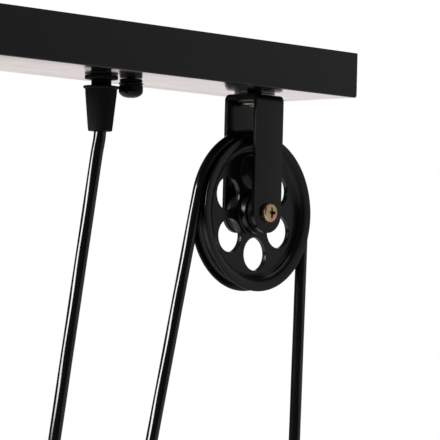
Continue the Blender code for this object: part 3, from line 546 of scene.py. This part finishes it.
def bend(start, start_way, stop, stop_way, pull, steps):
    """Bezier curve from start, leaving along start_way, to stop, arriving along stop_way."""
    a, d = np.array(start, float), np.array(stop, float)
    b, c = a + np.array(start_way) * pull, d - np.array(stop_way) * pull
    t = np.linspace(0, 1, steps + 1)[:, None]
    return a * (1 - t) ** 3 + 3 * b * t * (1 - t) ** 2 + 3 * c * t**2 * (1 - t) + d * t**3


def insulation(name, colour, shade, stripe=None):
    """Core PVC: a soft satin plastic. stripe is a second colour, on half of the way round, read from the
    UV's distance round the core."""
    made, tree, body = blank(name)
    spot = add(tree, "ShaderNodeTexCoord").outputs["Object"]
    cloud = add(tree, "ShaderNodeTexNoise", {"Vector": spot, "Scale": 1 / 0.002, "Detail": 2.0}).outputs[0]
    tint = add(tree, "ShaderNodeMix", {0: cloud, 6: linear(colour), 7: linear(shade)}, data_type="RGBA")
    if stripe:
        place = add(tree, "ShaderNodeUVMap", uv_map="along").outputs[0]
        way_round = add(tree, "ShaderNodeSeparateXYZ", {0: place}).outputs[1]
        past_half = {0: way_round, 1: np.pi * CORE_RADIUS}
        striped = add(tree, "ShaderNodeMath", past_half, operation="GREATER_THAN").outputs[0]
        ends = {0: striped, 6: tint.outputs[2], 7: linear(stripe)}
        tint = add(tree, "ShaderNodeMix", ends, data_type="RGBA")
    bump = add(tree, "ShaderNodeBump", {"Height": cloud, "Strength": 1.0, "Distance": 0.00001}).outputs[0]
    plug(tree, body, {"Base Color": tint.outputs[2], "Roughness": 0.38, "Normal": bump})
    return made


CORE_RADIUS, CORE_RING, CORE_FOOT = 0.0009, 0.00165, -0.0139
TERMINAL_X, TERMINAL_PITCH = middle("terminal_block")[0], 0.009
cores = [
    ("core_live", "brown_core", insulation("brown_pvc", "#5a3018", "#4a2612"), 90, 1, -0.0150),
    ("core_neutral", "blue_core", insulation("blue_pvc", "#1d4fae", "#173f92"), 210, -1, -0.0105),
]


def core_start(angle):
    """Where a core leaves the sheath, at an angle in degrees on the cores' ring."""
    turn = np.radians(angle)
    return GLAND[0] + CORE_RING * np.cos(turn), CORE_RING * np.sin(turn), CORE_FOOT


for node, slot, finish, angle, way, height in cores:
    x = TERMINAL_X + way * TERMINAL_PITCH
    turn_in, stop = (x + 0.004, -0.001, height), (x, 0.0125, -0.0165)
    path = bend(core_start(angle), (0, 0, 1), turn_in, (-1, 0.2, 0), 0.006, 20)
    path = np.concatenate([path, bend(turn_in, (-1, 0.2, 0), stop, (0, 1, 0), 0.005, 20)[1:]])
    fit(tube(f"{node}_visual", path, CORE_RADIUS, (1, -1, 1), 20), finish, "ceiling_side", slot, node)

stop = (GLAND[0] + 0.040, -0.0172, CANOPY_FOOT + SHEET + 0.0032)
path = bend(core_start(330), (0, 0, 1), stop, (1, -0.3, -0.3), 0.011, 28)
earth = tube("core_earth_visual", path, CORE_RADIUS, sides=20)
fit(earth, insulation("green_and_yellow_pvc", "#3f8f2a", "#357f24", "#d9c21c"), "ceiling_side",
    "green_yellow_core", "core_earth")


# ---- Lamp cord --------------------------------------------------------------------------------------
# One round three-core lamp cord, 6 mm across, in its separate runs: each ends where the next begins.
# Extruded gloss PVC: a deep black mirror sheath, with a slow swell where the twisted cores lie under it.
def sheath(name, dark, light, gloss, dull, swell):
    """Gloss cord sheath: UV runs in metres along the cord and round it, so the cores' twist is a slanted wave
    of that UV, LAY metres long, and fine draw lines run with the cord."""
    made, tree, body = blank(name)
    draw_long, draw_wide = 0.02, 0.0006  # one draw line, coarser than real so that it shows
    place = add(tree, "ShaderNodeUVMap", uv_map="along").outputs[0]
    parts = add(tree, "ShaderNodeSeparateXYZ", {0: place})
    turn = {0: parts.outputs[0], 1: 2 * np.pi / LAY}
    turn = add(tree, "ShaderNodeMath", turn, operation="MULTIPLY").outputs[0]
    phase = {0: parts.outputs[1], 1: CORES / CORD_RADIUS, 2: turn}
    phase = add(tree, "ShaderNodeMath", phase, operation="MULTIPLY_ADD").outputs[0]
    wave = add(tree, "ShaderNodeMath", {0: phase}, operation="SINE").outputs[0]
    scale = (1 / draw_long, 1 / draw_wide, 1)
    drawn = add(tree, "ShaderNodeMapping", {"Vector": place, "Scale": scale}).outputs[0]
    lines = add(tree, "ShaderNodeTexNoise", {"Vector": drawn, "Scale": 1.0, "Detail": 2.0}).outputs[0]
    height = add(tree, "ShaderNodeMath", {0: lines, 1: 0.12, 2: wave}, operation="MULTIPLY_ADD").outputs[0]
    bump = add(tree, "ShaderNodeBump", {"Height": height, "Strength": 1.0, "Distance": swell}).outputs[0]
    rough = add(tree, "ShaderNodeMapRange", {"Value": lines, "To Min": gloss, "To Max": dull}).outputs[0]
    tint = add(tree, "ShaderNodeMix", {0: lines, 6: linear(dark), 7: linear(light)}, data_type="RGBA")
    plug(tree, body, {"Base Color": tint.outputs[2], "Roughness": rough, "Normal": bump})
    return made


CORD_RADIUS, CORES, LAY = 0.003, 3, 0.045
SHEAVE, BLOCK = np.array(PULLEY), middle("block_wheel")
SHEAVE_CORD, BLOCK_CORD, CORD_BACK = 0.0395, 0.0307, 0.0012  # where the cord's middle lies in the grooves
GLAND_LEAN, RETURN_LEAN, LAMP_LEAN = np.radians((9.4, 13.45, 1.1))  # towards -X, going down
GLAND_BEND = 0.012  # the length over which the cord turns from plumb to its lean
LAMP_GRIP_TOP = -0.2065  # where the cord's run ends, inside the lamp end's grip
TAIL_TOP = -0.0145  # where the sheath is stripped back, inside the gland's nipple
pvc = sheath("gloss_black_pvc", "#050506", "#08080a", 0.12, 0.18, 0.00005)


def down(lean):
    """Unit vector down along a run that leans towards -X."""
    return np.array((-np.sin(lean), 0, -np.cos(lean)))


def left_of(lean):
    """Unit vector square to such a run, towards -X."""
    return np.array((-np.cos(lean), 0, np.sin(lean)))


def run_between(start, stop, steps):
    """Evenly spaced points on a straight run."""
    return start + (stop - start) * np.linspace(0, 1, steps + 1)[:, None]


def round_wheel(centre, radius, first, last, back, steps):
    """Points on an arc round a wheel in the X-Z plane, moved back in Y from back[0] to back[1] on the way."""
    t = np.linspace(0, 1, steps + 1)
    angle = first + (last - first) * t
    shift = back[0] + (back[1] - back[0]) * t
    return centre + np.column_stack([radius * np.cos(angle), shift, radius * np.sin(angle)])


def lay_cord(node, path):
    """A run of the cord as a tube with its finish, standing for its CAD run."""
    run = tube(f"{node}_visual", path, CORD_RADIUS, sides=40)
    fit(run, pvc, None, "black_pvc", node)
    return run


GLAND_MOUTH = np.array((GLAND[0], 0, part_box("gland_grip")[0][2]))
GLAND_RUN_END = BLOCK + left_of(GLAND_LEAN) * BLOCK_CORD
RETURN_END = BLOCK - left_of(RETURN_LEAN) * BLOCK_CORD
RETURN_TOP = SHEAVE + left_of(RETURN_LEAN) * SHEAVE_CORD + (0, CORD_BACK, 0)
LAMP_RUN_TOP = SHEAVE - left_of(LAMP_LEAN) * SHEAVE_CORD
LAMP_RUN_END = LAMP_RUN_TOP + down(LAMP_LEAN) * (LAMP_RUN_TOP[2] - LAMP_GRIP_TOP) / np.cos(LAMP_LEAN)
straight_from = GLAND_MOUTH + down(GLAND_LEAN) * GLAND_BEND
path = np.concatenate([bend(GLAND_MOUTH, (0, 0, -1), straight_from, down(GLAND_LEAN), GLAND_BEND / 3, 12),
                       run_between(straight_from, GLAND_RUN_END, 20)[1:]])
gland_run = lay_cord("cord_gland_run", path)
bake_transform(gland_run)

path = round_wheel(BLOCK, BLOCK_CORD, np.pi - GLAND_LEAN, 2 * np.pi - RETURN_LEAN, (0, 0), 48)
block_wrap = lay_cord("cord_block_wrap", path)
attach(block_wrap, "travelling_block")

path = run_between(RETURN_END, RETURN_TOP, 24)
return_run = lay_cord("cord_return_run", path)
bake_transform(return_run)

path = round_wheel(SHEAVE, SHEAVE_CORD, np.pi - RETURN_LEAN, -LAMP_LEAN, (CORD_BACK, 0), 64)
sheave_wrap = lay_cord("cord_sheave_wrap", path)
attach(sheave_wrap, "ceiling_side")

tail = run_between(np.array((GLAND[0], 0, TAIL_TOP)), GLAND_MOUTH, 8)
fit(tube("cord_tail_visual", tail, CORD_RADIUS), pvc, "ceiling_side", "black_pvc", "cord_tail")


# ---- Lamp end ---------------------------------------------------------------------------------------
# The same cord grip the other way up, on a zinc plated M10 nipple with its nut, ready for a lampholder.
lamp_low, lamp_high = np.array(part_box("lamp_grip"))
lamp_x = (lamp_low[0] + lamp_high[0]) / 2
lamp_grip = cord_grip("lamp_grip_visual", (lamp_x, 0, lamp_low[2]), UPSIDE_DOWN, lamp_high[2] - lamp_low[2])
fit(lamp_grip, nylon, "lamp_end", "black_nylon", "lamp_grip")
lamp_nipple = threaded("lamp_nipple", NECK_RADIUS, NECK_DEPTH, NECK_PITCH, CORD_BORE)
fit(lamp_nipple, bright_zinc, "lamp_end", "bright_zinc", "lamp_nipple")
lamp_nut = hex_nut("lamp_lock_nut", M10_FLATS, M10_BORE)
fit(lamp_nut, bright_zinc, "lamp_end", "bright_zinc", "lamp_lock_nut")

path = run_between(LAMP_RUN_TOP, LAMP_RUN_END, 20)
lamp_run = lay_cord("cord_lamp_run", path)
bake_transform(lamp_run)


# ---- Terminal strip and earth screw -----------------------------------------------------------------
# Three-way screw terminal, natural nylon 66: milky, slightly see-through at its edges. Its clamping
# screws are slotted and zinc plated; the earth screw is a yellow passivated pan head through the sheet.
def natural_nylon():
    """Milky moulded nylon: light goes a little way in, and cloudy patches lie in colour and bump."""
    made, tree, body = blank("natural_nylon")
    spot = add(tree, "ShaderNodeTexCoord").outputs["Object"]
    cloud = add(tree, "ShaderNodeTexNoise", {"Vector": spot, "Scale": 1 / 0.004, "Detail": 3.0}).outputs[0]
    ends = {0: cloud, 6: linear("#d8d5c8"), 7: linear("#e6e4da")}
    tint = add(tree, "ShaderNodeMix", ends, data_type="RGBA")
    bump = add(tree, "ShaderNodeBump", {"Height": cloud, "Strength": 1.0, "Distance": 0.00002}).outputs[0]
    plug(tree, body, {"Base Color": tint.outputs[2], "Roughness": 0.42, "Normal": bump,
                      "Subsurface Weight": 0.25, "Subsurface Radius": (0.002, 0.0018, 0.0015)})
    return made


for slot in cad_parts["terminal_block"].material_slots:
    slot.material = natural_nylon()


CLAMP_RADIUS, CLAMP_EDGE, SLOT_WIDTH, SLOT_DEPTH = 0.0019, 0.0002, 0.0006, 0.0008
for way in (1, 2, 3):
    node = f"terminal_screw_{way}"
    low, high = np.array(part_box(node))
    half, place = (high - low)[2] / 2, (low + high) / 2
    face = [(r, half) for r in np.linspace(0, CLAMP_RADIUS - CLAMP_EDGE, 12)]
    shape = np.array([*face, (CLAMP_RADIUS, half - CLAMP_EDGE), (CLAMP_RADIUS, -half), (0, -half)])
    grid = lathe(shape, place)

    # the slot: the top face drops inside a band across it, with sloped sides
    band = np.clip((SLOT_WIDTH / 2 - np.abs(grid[..., 1] - place[1])) / (0.15 * SLOT_WIDTH), 0, 1)
    grid[..., 2] -= SLOT_DEPTH * band * (grid[..., 2] > place[2] + half - 0.0003)
    fit(surface(f"{node}_visual", [grid]), bright_zinc, "ceiling_side", "bright_zinc", node)


# ---- Cross-recess screws ----------------------------------------------------------------------------
# Cold headed steel, zinc plated. Yellow passivation is a golden film that shifts to pink and straw from
# place to place; the bracket's screw and washer have a pale one. The punched recess has sloped walls.
yellow_zinc = plating("yellow_passivated_zinc", "#e0b488", "#e2a595", 0.30, 0.38, 0.0040, third="#d0bf92")
pale_zinc = plating("pale_passivated_zinc", "#8d8880", "#a39c90", 0.26, 0.36, 0.0030)


def cross_head(node, radius, tall, thread, turn, body, finish=yellow_zinc, arm=0.0056, pitch=0.0008):
    """Screw in a CAD node's box, head up along turn. Its crown is a shallow bowl turned over, with a round
    shoulder, and drops inside a plus sign whose arms are arm long in all, taper outwards and have sloped
    walls. The shaft carries a wound thread."""
    low, high = np.array(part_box(node))
    half, place = abs((high - low) @ turn)[2] / 2, (low + high) / 2
    ease = min(0.0013, tall * 0.45)
    out = np.linspace(0, radius - ease, 48)[:, None]
    crown = np.concatenate([out, half - 0.00025 * (out / out[-1]) ** 2], 1)
    shoulder = [(radius - ease, crown[-1, 1], 0), (radius, crown[-1, 1], ease), (radius, half - tall, 0.0002),
                (thread, half - tall, 0)]
    crown = np.concatenate([crown, rounded(shoulder, 8)[1:]])
    rows = np.linspace(half - tall, 0.0004 - half, int((2 * half - tall) / pitch * 9))
    shaft = np.column_stack([np.full(len(rows), thread), rows])
    profile = np.concatenate([crown, shaft[1:], [(thread * 0.8, -half), (0, -half)]])
    plain = 0.4 * (2 * half - tall)
    wind = screw_thread(thread * 0.86, thread * 0.14, pitch, -half, half - tall - plain)

    def shaped(r, angle, height):
        return np.where(height < half - tall - 0.00001, wind(r, angle, height), r)

    grid = (lathe(profile, place, turn, 120, shaped) - place) @ turn
    u, v = np.abs(grid[..., 0]), np.abs(grid[..., 1])
    long, short = np.maximum(u, v), np.minimum(u, v)
    wide = 0.13 * arm * (1.3 - long / arm) + 0.35 * np.clip(0.2 * arm - long, 0, None)
    inside = np.clip((wide - short) / 0.0002, 0, 1) * np.clip((arm / 2 - long) / 0.0003, 0, 1)
    grid[..., 2] -= 0.7 * tall * inside * (grid[..., 2] > half - 0.3 * tall)
    fit(surface(f"{node}_visual", [grid @ turn.T + place], sharp=40), finish, body, "yellow_zinc", node)


M5_BORE, M5_FLATS, M5_RADIUS, M6_RADIUS, M8_RADIUS = 0.0026, 0.008, 0.0025, 0.0030, 0.0040
AXLE_HEAD = {"radius": 0.0048, "tall": 0.0028, "thread": M5_RADIUS, "turn": TO_FRONT}
cross_head("axle_bolt", body="ceiling_side", **AXLE_HEAD)
cross_head("block_axle_bolt", body="travelling_block", **AXLE_HEAD)
cross_head("bracket_bolt", 0.0070, 0.0018, M8_RADIUS, UPSIDE_DOWN, "ceiling_side",
           pale_zinc, arm=0.0075, pitch=0.00125)
cross_head("earth_screw", 0.0040, 0.0022, M6_RADIUS, UPRIGHT, "ceiling_side", arm=0.0044)
cross_head("counterweight_bolt", 0.0042, 0.0026, M5_RADIUS, UPRIGHT, "travelling_block")
for node, body in (("axle_nut", "ceiling_side"), ("block_axle_nut", "travelling_block")):
    nut = hex_nut(node, M5_FLATS, M5_BORE, TO_BACK)
    fit(nut, yellow_zinc, body, "yellow_zinc", node)


# ---- U bracket and the block's yoke -----------------------------------------------------------------
# 20.5 x 2 mm steel strip bent to a U with half-round ends, its edges tumbled before coating. The same
# satin black powder coat as the canopy. One bolt with washers holds the bracket under the canopy.
STRAP_THICK, STRAP_FOLD, STRAP_EDGE = 0.0020, 0.0020, 0.00015  # fold radius at the middle of the thickness


def strap(node, bridge_side):
    """U strap, drawn as half and mirrored. Its section is a rectangle with eased edges. Each of the section's
    points goes round its own quarter circle about the axle, up the leg and round the fold to the bridge.
    bridge_side is 1 for a bridge at the top, -1 for one at the bottom."""
    low, high = np.array(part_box(node))
    half_wide, half_thick = (high - low)[0] / 2, STRAP_THICK / 2
    section = rounded([
        (0, half_thick, 0), (half_wide, half_thick, STRAP_EDGE), (half_wide, -half_thick, STRAP_EDGE),
        (-half_wide, -half_thick, STRAP_EDGE), (-half_wide, half_thick, STRAP_EDGE), (0, half_thick, 0),
    ], 4)
    across, lift = section.T
    leg = (high - low)[1] / 2 - half_thick
    axle = half_wide + half_thick - (high - low)[2]
    t = np.radians(np.linspace(0, 90, 19))[:, None]
    tip = np.stack([across * np.sin(t), leg + lift + 0 * t, axle - np.abs(across) * np.cos(t)], -1)
    reach = STRAP_FOLD + lift
    fold = [across + 0 * t, leg - STRAP_FOLD + reach * np.cos(t), reach * np.sin(t) - STRAP_FOLD]
    fold = np.stack(fold, -1)
    half = np.concatenate([tip, fold[::2]])
    grid = np.concatenate([half, (half * (1, -1, 1))[::-1]])
    bridge = high[2] - half_thick if bridge_side > 0 else low[2] + half_thick
    grid = grid * (1, 1, bridge_side) + ((low + high)[0] / 2, (low + high)[1] / 2, bridge)
    return surface(f"{node}_visual", [grid if bridge_side > 0 else grid[:, ::-1]])


straps = (("pulley_bracket", 1, "ceiling_side"), ("block_yoke", -1, "travelling_block"))
for node, bridge_side, body in straps:
    fit(strap(node, bridge_side), powder_coat, body, "satin_black_paint", node)
spacer = washer("bracket_spacer", BOLT_HOLE)
fit(spacer, powder_coat, "ceiling_side", "satin_black_paint", "bracket_spacer")
M8_BORE, M8_FLATS, WASHER_BORE = 0.0041, 0.013, 0.0042
rings = (("bracket_washer", pale_zinc, "yellow_zinc"), ("bracket_inner_washer", bright_zinc, "bright_zinc"))
for node, finish, slot in rings:
    fit(washer(node, WASHER_BORE, 0.00015), finish, "ceiling_side", slot, node)
nut = hex_nut("bracket_nut", M8_FLATS, M8_BORE)
fit(nut, bright_zinc, "ceiling_side", "bright_zinc", "bracket_nut")


# ---- Wheels -----------------------------------------------------------------------------------------
# Die-cast zinc wheels, turned in the groove: a rolled rim bead, a dished face, a flat web with round
# lightening holes and a round hub with a bronze bush. Gloss black enamel; the hub spacers are matt black.
enamel = coating("gloss_black_enamel", "#0c0c0d", "#101011", 0.20, 0.25, 0.000003, 0.0016, 0.28)
hub_paint = coating("matt_black_hub_paint", "#0a0a0b", "#0e0e0f", 0.40, 0.50, 0.000006, 0.0008, 0.10)


def wheel(node, bore, hub, holes, hole_ring, hole_radius, first_hole):
    """Wheel in the X-Z plane. Rim and hub are turned profiles that stop at the web; the web is one sector per
    hole, ruled from the hole's eased edge to the sector's own outline, front and back."""
    low, high = np.array(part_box(node))
    centre, radius, half = (low + high) / 2, (high - low)[2] / 2, (high - low)[1] / 2
    web, web_out, web_in, share = 0.0014, radius * 0.765, hub + 0.0004, 360 // holes // 3
    steps = share * holes
    turn_to = np.radians(first_hole) + np.pi / holes

    # rim: from the web's front edge out over the bead, down the groove, and back the same way behind
    foot, crest = radius * 0.81, radius - 0.0016
    swell = np.radians(np.linspace(8, 84, 12))
    start = web + 0.0005
    dish = [(crest - (crest - foot) * np.cos(a), start + (half - start) * np.sin(a), 0) for a in swell]
    front = [
        (web_out, web, 0), (radius * 0.785, web, 0.0003), (radius * 0.79, start, 0.0003),
        (radius * 0.80, start + 0.0001, 0.0002), *dish, (radius - 0.0005, half, 0.0006),
        (radius, half - 0.0007, 0.0004), (radius - 0.0006, half - 0.0012, 0.0003),
        (radius - 0.0036, 0.0040, 0.0006), (radius - 0.0042, 0.0026, 0.0006),
    ]
    rim = rounded(front + [(r, -y, ease) for r, y, ease in front[::-1]], 5)
    face = [(bore, half, 0.0004), (hub, half, 0.0007), (hub, web + 0.0004, 0.0003), (web_in, web, 0)]
    boss = rounded([(r, -y, ease) for r, y, ease in face[::-1]] + [(bore, 0, 0), *face], 4)
    angle = np.linspace(0, 2 * np.pi, steps + 1) + turn_to
    angle[-1] = angle[0]
    grids = []
    for shape in (rim, boss):
        r, y = shape[:, :1], shape[:, 1:]
        grids.append(np.stack([r * np.cos(angle), r * np.sin(angle), y + 0 * angle], -1))

    # one web sector: outline points go out along one side, round the rim arc, in, and back round the hub arc
    arc = angle[:share + 1]
    side = np.linspace(web_in, web_out, 9)[1:-1]
    path = [(web_out + 0 * arc, arc), (side[::-1], arc[-1]), (web_in + 0 * arc, arc[::-1]), (side, arc[0]),
            (np.array([web_out]), arc[0])]
    outline = np.concatenate([np.column_stack([r * np.cos(at), r * np.sin(at)]) for r, at in path])
    aim = (arc[0] + arc[-1]) / 2
    eye = hole_ring * np.array((np.cos(aim), np.sin(aim)))
    ray = outline - eye
    reach = np.hypot(*ray.T)[:, None]
    ray /= reach
    lip, flat = 0.00035, 0.0004
    edge = rounded([(lip + flat, web, 0), (lip, web, 0), (0, web, lip), (0, -web, lip), (lip, -web, 0),
                    (lip + flat, -web, 0)], 4)
    rows = [(reach, web), *[(hole_radius + beyond, y) for beyond, y in edge], (reach, -web)]
    sector = np.array([np.insert(eye + ray * away, 2, y, axis=1) for away, y in rows])
    for k in range(holes):
        c, s = np.cos(2 * np.pi * k / holes), np.sin(2 * np.pi * k / holes)
        grids.append(sector @ np.array([(c, s, 0), (-s, c, 0), (0, 0, 1)]))
    # these were drawn with the wheel's axis up, front face up: stand them to face the front
    placed = [np.stack([g[..., 0], -g[..., 2], g[..., 1]], -1) + centre for g in grids]
    return surface(f"{node}_visual", placed, sharp=50)


BUSH_RADIUS, HUB_RADIUS, FIRST_HOLE = 0.0042, 0.0108, -85  # the first hole's angle in degrees
wheels = {"sheave": (6, 0.0210, 0.0084), "block_wheel": (5, 0.0172, 0.0058)}  # holes, ring, hole radius
for node, (holes, hole_ring, hole_radius) in wheels.items():
    piece = wheel(node, BUSH_RADIUS, HUB_RADIUS, holes, hole_ring, hole_radius, FIRST_HOLE)
    fit(piece, enamel, node, "gloss_black_paint", node)
bronze = plating("sintered_bronze", "#8f6a3c", "#a98250", 0.35, 0.5, 0.0005)
hubs = [("", "ceiling_side", "sheave_bush", "sheave"),
        ("block_", "travelling_block", "block_bush", "block_wheel")]
for prefix, body, bush, wheel_body in hubs:
    for word in ("front", "back"):
        node = f"{prefix}hub_spacer_{word}"
        ring = washer(node, M5_BORE, 0.0004, TO_FRONT)
        fit(ring, hub_paint, body, "gloss_black_paint", node)
    fit(washer(bush, M5_BORE, 0.0002, TO_FRONT), bronze, wheel_body, "bronze", bush)


# ---- Counterweight ----------------------------------------------------------------------------------
# Turned grey iron slug that keeps the cord taut, hung under the yoke on one M5 screw and nut. Stoved
# black over the turned surface, so the tool's fine rings still show on its end faces and side.
def stoved_iron():
    """Stoved black over turned iron: tool rings about 0.7 mm apart, drawn coarser than real so that they
    show, in colour, roughness and bump."""
    made, tree, body = blank("stoved_black_iron")
    spot = add(tree, "ShaderNodeTexCoord").outputs["Object"]
    rings = add(tree, "ShaderNodeMapping", {"Vector": spot, "Scale": (30, 30, 1 / 0.0007)}).outputs[0]
    lines = add(tree, "ShaderNodeTexNoise", {"Vector": rings, "Scale": 1.0, "Detail": 3.0}).outputs[0]
    ends = {0: lines, 6: linear("#0e0e0f"), 7: linear("#19191a")}
    tint = add(tree, "ShaderNodeMix", ends, data_type="RGBA")
    gloss = add(tree, "ShaderNodeMapRange", {"Value": lines, "To Min": 0.28, "To Max": 0.45}).outputs[0]
    bump = add(tree, "ShaderNodeBump", {"Height": lines, "Strength": 1.0, "Distance": 0.00003}).outputs[0]
    plug(tree, body, {"Base Color": tint.outputs[2], "Roughness": gloss, "Normal": bump})
    return made


low, high = np.array(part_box("counterweight"))
half, radius = (high - low)[2] / 2, (high - low)[0] / 2
CHAMFER, CHAMFER_EASE, LINE_DEPTH = 0.0025, 0.0012, 0.0004  # end chamfers, and one turned line near the top
shape = rounded([
    (M5_BORE, 0, 0), (M5_BORE, half, 0.0004), (radius - CHAMFER, half, CHAMFER_EASE),
    (radius, half - CHAMFER, CHAMFER_EASE), (radius, half - 0.0055, 0.0001),
    (radius - LINE_DEPTH, half - 0.0058, 0.0002), (radius - LINE_DEPTH, half - 0.0062, 0.0002),
    (radius, half - 0.0065, 0.0001), (radius, CHAMFER - half, CHAMFER_EASE),
    (radius - CHAMFER, -half, CHAMFER_EASE), (M5_BORE, -half, 0.0004), (M5_BORE, 0, 0),
], 4)
weight = surface("counterweight_visual", [lathe(shape, (low + high) / 2, steps=96)])
fit(weight, stoved_iron(), "travelling_block", "black_iron", "counterweight")
nut = hex_nut("counterweight_nut", M5_FLATS, M5_BORE)
fit(nut, yellow_zinc, "travelling_block", "yellow_zinc", "counterweight_nut")
